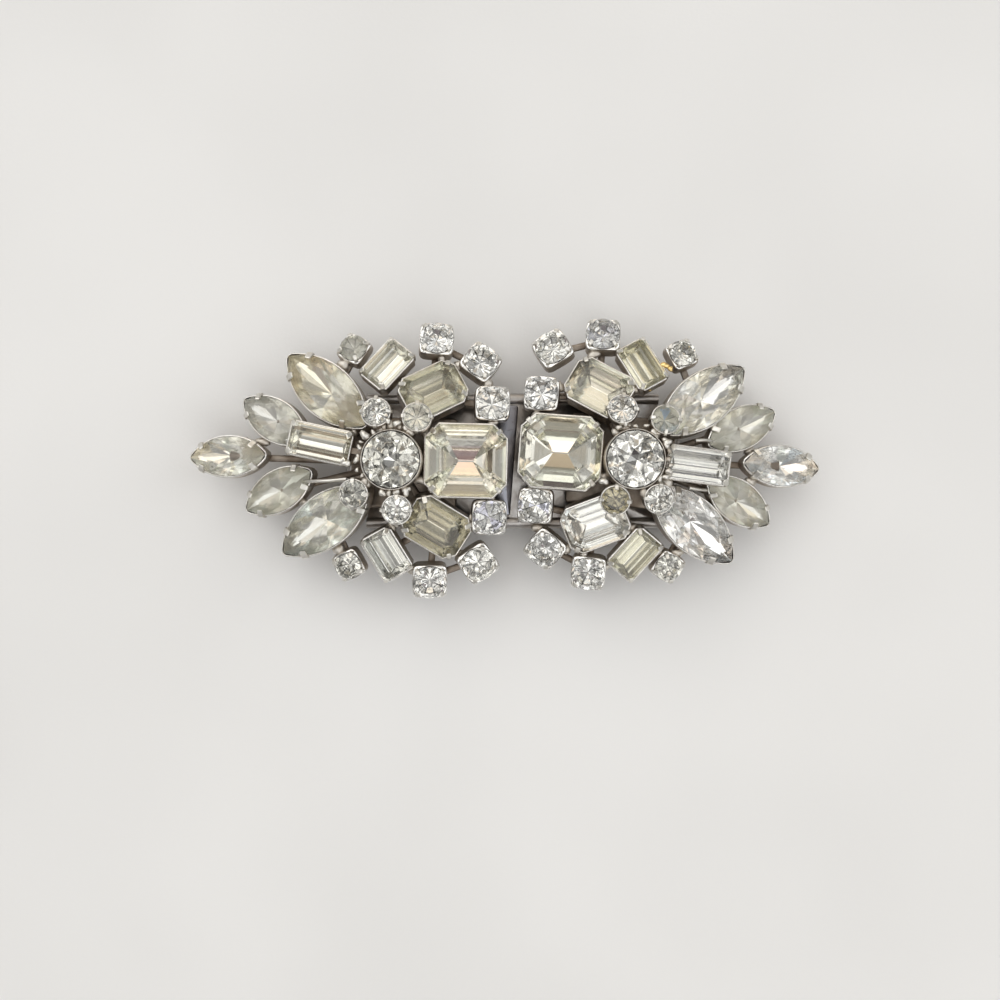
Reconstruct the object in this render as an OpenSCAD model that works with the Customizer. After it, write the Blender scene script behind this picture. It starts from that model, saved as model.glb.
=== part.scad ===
// Double clip brooch: two mirrored spray clips of clear cut stones, worn side by side on a pin-backed frame.
// It lies face up on its pin. X runs along the brooch, Y across it and Z up, in millimetres.
// The origin is on the surface it lies on, under the middle of the brooch.
// Each clip has its own measures: along runs from its centre stone to its tip, across to its upper edge.

/* [Brooch] */
// Distance between the two round centre stones
clip_spacing = 30.7; // [30.5:0.1:32]
// Turn of the left clip on the frame, in degrees
left_clip_turn = -1.2; // [-2:0.2:1]
// Turn of the right clip on the frame, in degrees
right_clip_turn = -4.4; // [-5:0.2:-2]
// How far the left clip sits towards the upper edge
left_clip_rise = 0.1; // [0:0.1:0.5]
// How far the right clip sits towards the upper edge
right_clip_rise = 0.3; // [0:0.1:0.5]

/* [Stones] */
// Length of the large marquise stones
large_marquise_length = 14.6; // [14:0.1:14.8]
// Width of the large marquise stones
large_marquise_width = 6.6; // [6:0.1:6.8]
// Length of the small marquise stones
small_marquise_length = 10.4; // [10:0.1:10.5]
// Width of the small marquise stones
small_marquise_width = 5.2; // [4.8:0.1:5.3]
// Length of the large octagon stones
large_octagon_length = 10.3; // [9.8:0.1:10.4]
// Width of the large octagon stones
large_octagon_width = 9.2; // [8.8:0.1:9.3]
// Length of the medium octagon stones
medium_octagon_length = 8; // [7.6:0.1:8.1]
// Width of the medium octagon stones
medium_octagon_width = 6; // [5.6:0.1:6.1]
// Length of the long baguette stones
long_baguette_length = 7.8; // [7.4:0.1:7.9]
// Length of the short baguette stones
short_baguette_length = 6.2; // [5.8:0.1:6.3]
// Width of all the baguette stones
baguette_width = 4.1; // [3.8:0.1:4.2]
// Diameter of the round centre stones
centre_diameter = 7.2; // [6.9:0.1:7.3]
// Diameter of the rounds along the outer edge
outer_round_diameter = 4.4; // [4:0.1:4.5]
// Diameter of the small rounds beside the large marquises
small_round_diameter = 3.6; // [3.4:0.1:3.7]
// Diameter of the accent stones round the centre stone
accent_diameter = 3.5; // [3.2:0.1:3.6]

/* [Settings] */
// Clearance between a stone and the metal round it
stone_gap = 0.1; // [0.08:0.01:0.12]
// Thickness of a cup's wall
cup_wall = 0.28; // [0.24:0.01:0.32]
// Thickness of a cup's floor
cup_floor = 0.3; // [0.25:0.05:0.35]
// Thickness of the thin walls round the small round stones
thin_wall = 0.16; // [0.14:0.01:0.2]
// Width of the ribs behind the stones
rib_width = 0.9; // [0.7:0.1:1.1]
// Thickness of the back plate of a clip
back_plate = 0.8; // [0.7:0.1:0.8]

/* [Frame and pin] */
// Length of the frame
frame_length = 38.8; // [37:0.1:39]
// Width of the frame over its rails
frame_width = 18; // [17.6:0.1:18.2]
// Thickness of the frame's plate
frame_plate = 1; // [0.9:0.05:1]
// Thickness of the pin's stem
pin_thickness = 1.1; // [1:0.1:1.2]

/* [Hidden] */
$fn = 48;

// Middle of the frame, from the middle of the whole brooch
frame_middle = [1.06, -0.26];

// Heights above the surface that the brooch lies on
frame_back = 3.8;
frame_front = frame_back + frame_plate;
frame_gap = 0.1;
plate_back = frame_front + frame_gap;
plate_front = plate_back + back_plate;
rib_back = frame_front + 0.65;
rib_front = rib_back + 0.7;

// Half the thickness of a stone's edge, the rim of a cup above the middle of that edge, a claw's thickness
edge_half = 0.1;
cup_rim = 0.15;
claw_thickness = 0.3;

// Share of a marquise's pointed length that is left once its tips are blunted
blunt = 0.965;

// clip, way it points along X, middle along X, middle along Y, turn
CLIPS = [
    ["left", -1, frame_middle[0] - clip_spacing / 2, frame_middle[1] + left_clip_rise, left_clip_turn],
    ["right", 1, frame_middle[0] + clip_spacing / 2, frame_middle[1] + right_clip_rise, right_clip_turn],
];

// cut, outline, length, width, cut corner, crown, pavilion, table's share, claw width, claw reach
CUTS = [
    ["large marquise", "marquise", large_marquise_length, large_marquise_width, 0, 1.3, 2.4, 0.56, 1.1, 1.1],
    ["small marquise", "marquise", small_marquise_length, small_marquise_width, 0, 1.05, 1.9, 0.56, 0.9, 0.9],
    ["large octagon", "octagon", large_octagon_length, large_octagon_width, 1.7, 1.4, 3.3, 0.58, 1.2, 1],
    ["medium octagon", "octagon", medium_octagon_length, medium_octagon_width, 1.2, 1.1, 2.4, 0.58, 1, 0.9],
    ["long baguette", "octagon", long_baguette_length, baguette_width, 0.45, 0.9, 1.6, 0.6, 0.8, 0.7],
    ["short baguette", "octagon", short_baguette_length, baguette_width, 0.5, 0.9, 1.7, 0.6, 0.8, 0.7],
    ["centre round", "bezel", centre_diameter, centre_diameter, 0, 1.2, 3, 0.55, 0, 0],
    ["outer round", "square", outer_round_diameter, outer_round_diameter, 0.5, 0.8, 1.75, 0.55, 0.8, 0.6],
    ["small round", "square", small_round_diameter, small_round_diameter, 0.45, 0.7, 1.4, 0.55, 0.7, 0.5],
    ["accent round", "round", accent_diameter, accent_diameter, 0, 0.65, 1.35, 0.55, 0.7, 0.5],
];

// piece, cut, along, across, height of its edge, turn, lean away from the centre stone
STONES = [
    ["tip_marquise", "small marquise", 21, 0, 7.2, 0, 6],
    ["small_marquise", "small marquise", 15.1, 4.8, 7.6, 31, 9],
    ["large_marquise", "large marquise", 8.8, 8.3, 8.5, 40, 9],
    ["long_baguette", "long baguette", 8.7, 0, 11.2, 0, 3],
    ["centre_round", "centre round", 0, 0, 12.6, 0, 0],
    ["large_octagon", "large octagon", -9.2, 0, 10.4, 0, 2],
    ["medium_octagon", "medium octagon", -4.9, 8.8, 9.2, -28, 14],
    ["short_baguette", "short baguette", 0.9, 12.3, 8.6, -55, 14],
    ["small_round", "small round", 5.8, 14.1, 7.6, 30, 18],
    ["outer_round", "outer round", -4.8, 15.8, 7.8, 0, 18],
    ["shoulder_round", "outer round", -10.9, 13.2, 8, 35, 16],
    ["inner_round", "outer round", -12.3, 7.3, 9, 0, 8],
];
ACCENTS = [
    ["outer_accent", "accent round", 3.4, 5.1, 12.2, 45, 10],
    ["inner_accent", "accent round", -2, 5.7, 12.2, 0, 10],
];

// How far some stones were set from the even pattern: clip, row, piece, along, across, height, turn
HAND_SET = [
    ["left", "middle", "tip_marquise", 0.9, -0.1, 0, -3],
    ["left", "middle", "long_baguette", 0.5, 1.6, 0.3, 11],
    ["left", "middle", "centre_round", 0, -0.4, 0, 0],
    ["left", "middle", "large_octagon", -0.1, -0.2, 0, 0],
    ["left", "upper", "small_marquise", 0.7, -0.1, 0, 1],
    ["left", "lower", "small_marquise", 0, -0.3, 0, 0],
    ["left", "upper", "large_marquise", 0.2, 0.3, 0, 1],
    ["left", "lower", "large_marquise", 0, 0, 0, -2],
    ["left", "upper", "medium_octagon", 0, 0.1, 0, -1],
    ["left", "lower", "medium_octagon", -0.8, 0, 0, -3],
    ["left", "upper", "short_baguette", 0.3, -0.1, 0, 4],
    ["left", "lower", "short_baguette", -0.2, 0.2, 0, -4],
    ["left", "upper", "small_round", 0, 0.3, 0, 0],
    ["left", "upper", "outer_round", -0.3, 0.1, 0, 0],
    ["left", "lower", "outer_round", -0.1, 0.2, 0, 0],
    ["left", "upper", "shoulder_round", -0.1, -0.2, 0, 0],
    ["left", "lower", "shoulder_round", -0.3, 0.3, 0, 0],
    ["left", "upper", "inner_round", -0.3, 0.1, 0, 0],
    ["left", "lower", "inner_round", -0.2, 0.1, 0, 0],
    ["left", "upper", "outer_accent", -1.3, 0.5, 0, 0],
    ["left", "lower", "outer_accent", 1.3, -0.3, 0, 0],
    ["left", "upper", "inner_accent", -1.1, -0.6, 0, 0],
    ["left", "lower", "inner_accent", 1.2, 1, 0, 0],
    ["right", "middle", "tip_marquise", -1.2, 0.4, 0, 0],
    ["right", "middle", "long_baguette", -0.5, -0.6, 0, -3],
    ["right", "middle", "centre_round", 0, -0.5, 0, 0],
    ["right", "middle", "large_octagon", -0.1, -0.2, 0, 0],
    ["right", "upper", "small_marquise", -0.9, 0.1, 0, 0],
    ["right", "lower", "small_marquise", -0.6, -0.1, 0, 0],
    ["right", "upper", "large_marquise", -0.1, -0.2, 0, 2],
    ["right", "lower", "large_marquise", -0.1, -0.1, 0, -2],
    ["right", "upper", "medium_octagon", 0, -0.2, 0, 2],
    ["right", "lower", "medium_octagon", 0.8, 0.2, 0, 2],
    ["right", "upper", "short_baguette", -0.4, -0.2, 0, -1],
    ["right", "lower", "short_baguette", 0.5, 0.3, 0, 1],
    ["right", "lower", "small_round", 0.2, -0.1, 0, 0],
    ["right", "lower", "outer_round", 0.4, -0.2, 0, 0],
    ["right", "upper", "shoulder_round", -0.4, 0.3, 0, 0],
    ["right", "lower", "shoulder_round", 0.6, -0.3, 0, 0],
    ["right", "lower", "inner_round", 0.3, 0, 0, 0],
    ["right", "upper", "outer_accent", 0.1, -0.3, 0, 0],
    ["right", "lower", "outer_accent", 0, 0.2, 0, 0],
    ["right", "lower", "inner_accent", -0.1, 0.2, 0.2, 0],
];

// Stones that a rib runs between, in the upper and in the lower half of a clip
RIBS = [
    ["centre_round", "tip_marquise"],
    ["centre_round", "small_marquise"],
    ["centre_round", "large_marquise"],
    ["centre_round", "medium_octagon"],
    ["centre_round", "large_octagon"],
    ["large_marquise", "small_round"],
    ["medium_octagon", "short_baguette"],
    ["medium_octagon", "outer_round"],
    ["medium_octagon", "inner_round"],
    ["outer_round", "shoulder_round"],
];

// One named stone of a clip, as set: name, cut, X, Y, Z, turn, lean, way it leans
function set_off(clip, row, piece) =
    let (found = [for (h = HAND_SET) if ([h[0], h[1], h[2]] == [clip, row, piece]) [h[3], h[4], h[5], h[6]]])
    len(found) > 0 ? found[0] : [0, 0, 0, 0];
function as_set(clip, stone, row) =
    let (
        up = row == "lower" ? -1 : 1,
        off = set_off(clip[0], row, stone[0]),
        x = clip[1] * (stone[2] + off[0]),
        y = up * (stone[3] + off[1]),
        turn = clip[1] * up * (stone[5] + off[3]),
        c = cos(clip[4]),
        s = sin(clip[4]),
        name = row == "middle" ? str(clip[0], "_", stone[0]) : str(clip[0], "_", row, "_", stone[0])
    )
    [name, stone[1], clip[2] + x * c - y * s, clip[3] + x * s + y * c, stone[4] + off[2],
        turn + clip[4], stone[6], atan2(y, x) + clip[4]];
function rows_of(stone) = stone[3] == 0 ? ["middle"] : ["upper", "lower"];
function stones_of(clip, list) = [for (stone = list) for (row = rows_of(stone)) as_set(clip, stone, row)];

// One named cut, with half its length and half its width in place of the whole
function cut_of(name) =
    let (cut = [for (each_cut = CUTS) if (each_cut[0] == name) each_cut][0])
    [for (k = [0:len(cut) - 1]) k == 2 || k == 3 ? cut[k] / 2 : cut[k]];
function listed(piece) = [for (stone = STONES) if (stone[0] == piece) stone][0];
function stone_named(clip, row, piece) =
    let (stone = listed(piece))
    as_set(clip, stone, stone[3] == 0 ? "middle" : row);

// Puts something drawn round a stone's own middle into its place in the clip
module in_place(s) {
    translate([s[2], s[3], s[4]])
        rotate(a = s[6], v = [-sin(s[7]), cos(s[7]), 0])
            rotate([0, 0, s[5]])
                children();
}

// Radius and half opening angle of the two arcs that make a marquise
function arc_radius(a, b) = (a * a + b * b) / (2 * b);
function arc_half(a, b) = asin(a / arc_radius(a, b));

// Point of a stone's outline, t going round from 0 to 360
function outline_point(shape, a, b, t) =
    shape == "marquise"
        ? let (
            r = arc_radius(a, b),
            side = t % 360 <= 180 ? 1 : -1,
            swing = side > 0 ? t % 360 : 360 - t % 360,
            angle = 90 - arc_half(a, b) * (1 - swing / 90)
        )
        [max(-blunt * a, min(blunt * a, r * cos(angle))), side * (r * sin(angle) - r + b)]
        : [a * cos(t), b * sin(t)];

// A brilliant: table, star, kite and edge facets above, kites and edge facets running to a point below
module brilliant(cut) {
    shape = cut[1];
    a = cut[2];
    b = cut[3];
    crown = cut[5];
    depth = cut[6];
    table = cut[7];
    star = 0.8;
    heart = 0.36;
    half_step = cos(22.5);
    star_height = crown - (star * half_step - table) / (1 - table) * (crown - edge_half);
    heart_depth = depth - heart * half_step * (depth - edge_half);
    function at(share, t, z) =
        let (p = outline_point(shape, a, b, t))
        [share * p[0], share * p[1], z];
    points = concat(
        [for (k = [0:7]) at(table, 45 * k, crown)],
        [for (k = [0:7]) at(star, 45 * k + 22.5, star_height)],
        [for (k = [0:15]) at(1, 22.5 * k, edge_half)],
        [for (k = [0:15]) at(1, 22.5 * k, -edge_half)],
        [for (k = [0:7]) at(heart, 45 * k + 22.5, -heart_depth)],
        [[0, 0, -depth]]
    );
    function next(k, n) = (k + 1) % n;
    table_face = [for (k = [7:-1:0]) k];
    stars = [for (k = [0:7]) [k, next(k, 8), 8 + k]];
    kites = [for (k = [0:7]) [next(k, 8), 16 + 2 * next(k, 8), 8 + k]];
    kites_back = [for (k = [0:7]) [k, 8 + k, 16 + 2 * k]];
    edge_up = [for (k = [0:7]) [8 + k, 16 + 2 * k + 1, 16 + 2 * k]];
    edge_up_back = [for (k = [0:7]) [8 + k, 16 + 2 * next(k, 8), 16 + 2 * k + 1]];
    band = [for (k = [0:15]) [16 + k, 16 + next(k, 16), 32 + next(k, 16), 32 + k]];
    edge_low = [for (k = [0:7]) [48 + k, 32 + 2 * k, 32 + 2 * k + 1]];
    edge_low_back = [for (k = [0:7]) [48 + k, 32 + 2 * k + 1, 32 + 2 * next(k, 8)]];
    hearts = [for (k = [0:7]) [56, 32 + 2 * k, 48 + k]];
    hearts_back = [for (k = [0:7]) [56, 48 + k, 32 + 2 * next(k, 8)]];
    polyhedron(points, concat(
        [table_face],
        stars, kites, kites_back, edge_up, edge_up_back, band, edge_low, edge_low_back, hearts, hearts_back
    ));
}

// Corners of a rectangle with cut corners, drawn in by inset, at height z
function octagon_ring(a, b, corner, inset, z) =
    let (
        x = a - inset,
        y = b - inset,
        c = corner * (b - inset) / b
    )
    [[x, y - c, z], [x - c, y, z], [c - x, y, z], [-x, y - c, z],
        [-x, c - y, z], [c - x, -y, z], [x - c, -y, z], [x, c - y, z]];

// A step cut: the table and two steps above the edge, three steps and a keel below it
module step_cut(cut) {
    a = cut[2];
    b = cut[3];
    crown = cut[5];
    depth = cut[6];
    slope = (1 - cut[7]) * b;
    // share of the slope or of the half width that a ring is drawn in, and its height
    rings = [
        octagon_ring(a, b, cut[4], slope, crown),
        octagon_ring(a, b, cut[4], 0.42 * slope, 0.62 * crown),
        octagon_ring(a, b, cut[4], 0, edge_half),
        octagon_ring(a, b, cut[4], 0, -edge_half),
        octagon_ring(a, b, cut[4], 0.25 * b, -0.36 * depth),
        octagon_ring(a, b, cut[4], 0.5 * b, -0.66 * depth),
        octagon_ring(a, b, cut[4], 0.95 * b, -depth),
    ];
    last = len(rings) - 1;
    polyhedron(
        [for (ring = rings) for (p = ring) p],
        concat(
            [[for (k = [7:-1:0]) k]],
            [for (r = [0:last - 1]) for (k = [0:7])
                [8 * r + k, 8 * r + (k + 1) % 8, 8 * r + 8 + (k + 1) % 8, 8 * r + 8 + k]],
            [[for (k = [0:7]) 8 * last + k]]
        )
    );
}

module stone(s) {
    cut = cut_of(s[1]);
    color("whitesmoke")
        in_place(s) {
            if (cut[1] == "octagon") {
                step_cut(cut);
            } else {
                brilliant(cut);
            }
        }
}

module accents(clip) {
    for (s = stones_of(clip, ACCENTS)) {
        stone(s);
    }
}

// Outline of a stone's cut grown by more all round
module grown_outline(cut, more) {
    a = cut[2] + more;
    b = cut[3] + more;
    if (cut[1] == "marquise") {
        r = arc_radius(cut[2], cut[3]);
        arc_middle = r - cut[3];
        intersection() {
            translate([0, -arc_middle])
                circle(r + more);
            translate([0, arc_middle])
                circle(r + more);
            square(2 * [blunt * cut[2] + more, b], center = true);
        }
    } else if (cut[1] == "octagon") {
        corner = cut[4] + 0.586 * more;
        polygon([for (p = octagon_ring(a, b, corner, 0, 0)) [p[0], p[1]]]);
    } else {
        circle(a);
    }
}

// The metal of one cup before its stone's pocket is cut out
module cup_blank(cut) {
    more = stone_gap + (cut[1] == "square" || cut[1] == "round" ? thin_wall : cup_wall);
    depth = cut[6] + stone_gap + cup_floor;
    rim = cut[1] == "bezel" ? 2 * cup_rim : cup_rim;
    translate([0, 0, -depth])
        linear_extrude(height = depth + rim)
            if (cut[1] == "square") {
                polygon([for (p = octagon_ring(cut[2] + more, cut[3] + more, cut[4], 0, 0)) [p[0], p[1]]]);
            } else {
                grown_outline(cut, more);
            }
}

// The room that a stone takes up in the metal
module pocket(cut) {
    depth = cut[6] + stone_gap;
    translate([0, 0, -depth])
        linear_extrude(height = depth + cut[5] + stone_gap)
            grown_outline(cut, stone_gap);
}

// Places round a stone where a claw stands: X, Y on the stone's edge and the way out from there
function claw_places(cut) =
    let (a = cut[2], b = cut[3], c = cut[4])
    cut[1] == "marquise"
        ? let (r = arc_radius(a, b), swing = 0.62 * arc_half(a, b))
            [for (up = [1, -1]) for (way = [1, -1])
                let (angle = 90 - way * swing)
                [r * cos(angle), up * (r * sin(angle) - r + b), up * angle]]
        : cut[1] == "octagon"
            ? [for (x = [1, -1]) for (y = [1, -1]) [x * (a - c / 2), y * (b - c / 2), atan2(y, x)]]
            : [for (t = [45:90:315]) [a * cos(t), b * sin(t), t]];

// One claw: a leg on the cup's wall and a finger lying over the crown, drawn with the stone's edge at X = 0
module claw(cut) {
    lift = 6;
    slope = atan((cut[5] - edge_half) / ((1 - cut[7]) * cut[3])) + lift;
    finger = claw_thickness / cos(slope);
    leg_proud = 0.06;
    leg = stone_gap + cup_wall + leg_proud;
    leg_foot = -min(1, 0.6 * cut[6]);
    reach = cut[9];
    taper = 0.7;
    // height of the finger's underside at a distance inside the stone's edge
    function under(inside) = edge_half + stone_gap / cos(slope) + inside * tan(slope);
    rotate([90, 0, 0])
        translate([0, 0, -cut[8] / 2])
            linear_extrude(height = cut[8])
                polygon([
                    [stone_gap, leg_foot],
                    [leg, leg_foot],
                    [leg, edge_half + stone_gap],
                    [0, under(0) + finger],
                    [-reach, under(reach) + finger * taper],
                    [-reach, under(reach)],
                    [0, under(0)],
                    [stone_gap, under(0)],
                ]);
}

module claws(cut) {
    for (p = claw_places(cut)) {
        translate([p[0], p[1], 0])
            rotate([0, 0, p[2]])
                claw(cut);
    }
}

// Middle of a cup's floor
function floor_middle(s) =
    let (depth = cut_of(s[1])[6] + stone_gap + cup_floor / 2)
    [s[2] - depth * sin(s[6]) * cos(s[7]), s[3] - depth * sin(s[6]) * sin(s[7]), s[4] - depth * cos(s[6])];

// Places something drawn in a clip's own measures, with along as X and across as Y
module on_clip(clip) {
    translate([clip[2], clip[3], 0])
        rotate([0, 0, clip[4]])
            children();
}

// A flat bar in plan, from the middle of one cup to the middle of another
module bar(from, to) {
    way = [to[0] - from[0], to[1] - from[1]];
    translate([from[0], from[1]])
        rotate([0, 0, atan2(way[1], way[0])])
            translate([0, -rib_width / 2])
                square([norm(way), rib_width]);
}

// The back plate, the ribs and the posts that carry the cups
module gallery(clip) {
    plate = [14, 12];
    plate_inward = 1;
    centre_post = 4;
    post = 1.8;
    on_clip(clip) {
        translate([-clip[1] * plate_inward - plate[0] / 2, -plate[1] / 2, plate_back])
            cube([plate[0], plate[1], back_plate]);
    }
    hub = floor_middle(stone_named(clip, "middle", "centre_round"));
    translate([hub[0], hub[1], plate_back])
        cylinder(d = centre_post, h = hub[2] - plate_back, $fn = 8);
    translate([0, 0, rib_back])
        linear_extrude(height = rib_front - rib_back)
            for (pair = RIBS) {
                for (row = rows_of(listed(pair[1]))) {
                    ends = [for (piece = pair) floor_middle(stone_named(clip, row, piece))];
                    bar(ends[0], ends[1]);
                }
            }
    for (s = stones_of(clip, STONES)) {
        under = floor_middle(s);
        if (under[2] > rib_front) {
            translate([under[0], under[1], rib_back])
                cylinder(d = post, h = under[2] - rib_back, $fn = 8);
        }
    }
}

// The bars that hold the raised cups round the centre stone
module raised_bars(clip) {
    raised = concat(stones_of(clip, ACCENTS), [stone_named(clip, "middle", "long_baguette")]);
    bar_back = 10.5;
    bar_height = 0.7;
    translate([0, 0, bar_back])
        linear_extrude(height = bar_height)
            for (s = raised) {
                bar([clip[2], clip[3]], [s[2], s[3]]);
            }
}

// All the soldered metal of a clip
module setting(clip) {
    stones = stones_of(clip, concat(STONES, ACCENTS));
    color("silver") {
        difference() {
            union() {
                gallery(clip);
                raised_bars(clip);
                for (s = stones) {
                    in_place(s)
                        cup_blank(cut_of(s[1]));
                }
            }
            for (s = stones) {
                in_place(s)
                    pocket(cut_of(s[1]));
            }
        }
        for (s = stones) {
            cut = cut_of(s[1]);
            if (cut[1] != "bezel") {
                in_place(s)
                    claws(cut);
            }
        }
    }
}

// The fold-over lever: a hinge barrel past the end of the frame and two fingers reaching back under it
module lever(clip) {
    barrel = 2;
    barrel_along = 5.9;
    finger = [12, 2.3, 0.8];
    finger_inside = 3.2;
    color("lightslategray")
        on_clip(clip) {
            translate([clip[1] * barrel_along, 0, plate_back - frame_gap - barrel / 2])
                rotate([90, 0, 0])
                    cylinder(d = barrel, h = 2 * (finger_inside + finger[1]), center = true);
            for (side = [1, -1]) {
                translate([
                    clip[1] * (barrel_along - finger[0] / 2),
                    side * (finger_inside + finger[1] / 2),
                    frame_back - 0.3 - finger[2] / 2
                ])
                    cube(finger, center = true);
            }
        }
}

module brooch_frame() {
    rail = 1.5;
    bar = [2.7, 14.6, 0.5];
    bar_edge = 0.2;
    color("slategray")
        translate([frame_middle[0], frame_middle[1], 0]) {
            translate([-frame_length / 2, -frame_width / 2 + rail / 2, frame_back])
                cube([frame_length, frame_width - rail, frame_plate]);
            for (side = [1, -1]) {
                translate([0, side * (frame_width - rail) / 2, frame_front - 0.25])
                    rotate([0, 90, 0])
                        cylinder(d = rail, h = frame_length, center = true);
            }
            rotate([0, 0, right_clip_turn])
                translate([bar_edge - bar[0], -bar[1] / 2, frame_front - 0.1])
                    cube(bar + [0, 0, 0.1]);
        }
}

module pin() {
    foot = [3.2, 8, 1.6];
    neck = [2.6, 4.4];
    foot_along = 16.6;
    color("gray")
        translate([frame_middle[0], frame_middle[1], 0]) {
            for (side = [1, -1]) {
                translate([side * foot_along - foot[0] / 2, -foot[1] / 2, 0])
                    cube(foot);
                translate([side * foot_along - neck[0] / 2, -neck[1] / 2, foot[2] / 2])
                    cube([neck[0], neck[1], frame_back - frame_gap - foot[2] / 2]);
            }
            translate([0, 0, foot[2] / 2])
                rotate([0, 90, 0])
                    cylinder(d = pin_thickness, h = 2 * foot_along, center = true);
        }
}

brooch_frame();
pin();
for (clip = CLIPS) {
    setting(clip);
    lever(clip);
    accents(clip);
    for (s = stones_of(clip, STONES)) {
        stone(s);
    }
}
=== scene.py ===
import math
import random

import bmesh
import bpy
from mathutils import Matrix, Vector
from mathutils.geometry import convex_hull_2d


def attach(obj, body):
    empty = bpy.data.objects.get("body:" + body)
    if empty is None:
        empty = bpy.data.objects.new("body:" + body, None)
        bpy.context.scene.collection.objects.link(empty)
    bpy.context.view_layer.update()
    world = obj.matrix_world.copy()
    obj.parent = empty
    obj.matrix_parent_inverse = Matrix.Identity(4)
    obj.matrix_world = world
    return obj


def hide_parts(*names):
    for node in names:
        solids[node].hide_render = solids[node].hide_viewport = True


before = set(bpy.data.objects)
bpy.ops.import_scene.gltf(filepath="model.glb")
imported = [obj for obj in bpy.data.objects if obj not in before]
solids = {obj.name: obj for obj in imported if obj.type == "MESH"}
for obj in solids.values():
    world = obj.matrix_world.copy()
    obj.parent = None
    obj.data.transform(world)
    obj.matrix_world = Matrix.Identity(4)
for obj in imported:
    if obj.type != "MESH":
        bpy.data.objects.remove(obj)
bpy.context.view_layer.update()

# Lengths below are millimetres; the scene itself is in metres.
MM = 0.001
SCENE = bpy.context.scene
SCENE.cycles.glossy_bounces = 12
SCENE.cycles.transmission_bounces = 16
SCENE.cycles.max_bounces = 20
UP = Vector((0, 0, 1))


def on_circle(radius, degrees):
    t = math.radians(degrees)
    return radius * math.cos(t), radius * math.sin(t)


def axes(degrees):
    """The ways along and across something that lies turned on the table."""
    x, y = on_circle(1, degrees)
    return Vector((x, y, 0)), Vector((-y, x, 0))


# ---------------------------------------------------------------- finishes


class Wire:
    """A value on its way through a finish; Python's own signs work on it."""

    def __init__(self, finish, socket):
        self.finish = finish
        self.socket = socket

    def reckon(self, operation, first, second):
        return self.finish.node("Math", {"operation": operation}, {0: first, 1: second})

    def __add__(self, other):
        return self.reckon("ADD", self, other)

    def __radd__(self, other):
        return self.reckon("ADD", other, self)

    def __sub__(self, other):
        return self.reckon("SUBTRACT", self, other)

    def __rsub__(self, other):
        return self.reckon("SUBTRACT", other, self)

    def __mul__(self, other):
        return self.reckon("MULTIPLY", self, other)

    def __rmul__(self, other):
        return self.reckon("MULTIPLY", other, self)


class Finish:
    """The nodes of one finish, of the floor or of the light all round."""

    def __init__(self, tree):
        self.tree = tree
        tree.nodes.clear()

    def node(self, kind, settings=None, values=None, out=0):
        made = self.tree.nodes.new("ShaderNode" + kind)
        for key, setting in (settings or {}).items():
            if key == "stops":
                stops = made.color_ramp.elements
                while len(stops) < len(setting):
                    stops.new(1.0)
                for stop, (place, colour) in zip(stops, setting):
                    stop.position = place
                    stop.color = (*colour, 1.0)
            else:
                setattr(made, key, setting)
        for key, value in (values or {}).items():
            if isinstance(value, Wire):
                self.tree.links.new(value.socket, made.inputs[key])
            elif isinstance(value, tuple) and made.inputs[key].type == "RGBA":
                made.inputs[key].default_value = (*value, 1.0)
            else:
                made.inputs[key].default_value = value
        return Wire(self, made.outputs[out]) if made.outputs else None

    def place(self):
        """Where a point lies on its own piece."""
        return self.node("TexCoord", out=3)

    def noise(self, size, detail=3.0, twist=0.0):
        """Clouds whose patches are about this many millimetres across."""
        return self.node(
            "TexNoise",
            values={
                "Vector": self.place(),
                "Scale": 1.0 / (size * MM),
                "Detail": detail,
                "Distortion": twist,
            },
        )

    def span(self, value, low, high, start=0.0, end=1.0):
        """From start to end, softly, while the value goes from low to high."""
        return self.node(
            "MapRange",
            {"interpolation_type": "SMOOTHSTEP"},
            {
                "Value": value,
                "From Min": low,
                "From Max": high,
                "To Min": start,
                "To Max": end,
            },
        )

    def mix(self, share, first, second, blend="MIX"):
        return self.node(
            "Mix",
            {"data_type": "RGBA", "blend_type": blend},
            {0: share, 6: first, 7: second},
            out=2,
        )

    def mark(self, name):
        """A number that the mesh carries at each point or facet."""
        return self.node("Attribute", {"attribute_name": name}, out=2)

    def bump(self, height, depth, strength=1.0):
        return self.node(
            "Bump",
            values={"Height": height, "Distance": depth * MM, "Strength": strength},
        )

    def surface(self, **values):
        named = {}
        for key, value in values.items():
            named[key.replace("_", " ").title().replace("Ior", "IOR")] = value
        skin = self.node("BsdfPrincipled", values=named)
        self.node("OutputMaterial", values={"Surface": skin})


def finish_named(name):
    material = bpy.data.materials.new(name)
    material.use_nodes = True
    return material, Finish(material.node_tree)


def silver_finish(name, bright, dull, polish, wear):
    """Plated metal: bright on its high spots and browned in its recesses."""
    material, f = finish_named(name)
    cloud = f.noise(2.2, 4.0, 0.6)
    dents = f.noise(0.75, 2.0)
    grain = f.noise(0.16, 5.0)
    specks = f.noise(0.5, 3.0)
    age = f.mark("age")
    browned = f.span(age * 0.9 + (cloud - 0.5) * wear, 0.1, 1.05)
    worn = f.span(specks, 0.62, 0.78, 0.0, 0.35)
    base = f.mix(browned, bright, dull)
    base = f.mix(worn, base, tuple(0.55 * c for c in dull))
    f.surface(
        base_color=base,
        metallic=1.0,
        roughness=polish + browned * 0.22 + grain * 0.12 + worn * 0.3,
        normal=f.bump(grain * 0.35 + cloud * 0.8 + dents * 1.2, 0.07, 0.6),
    )
    return material


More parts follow.
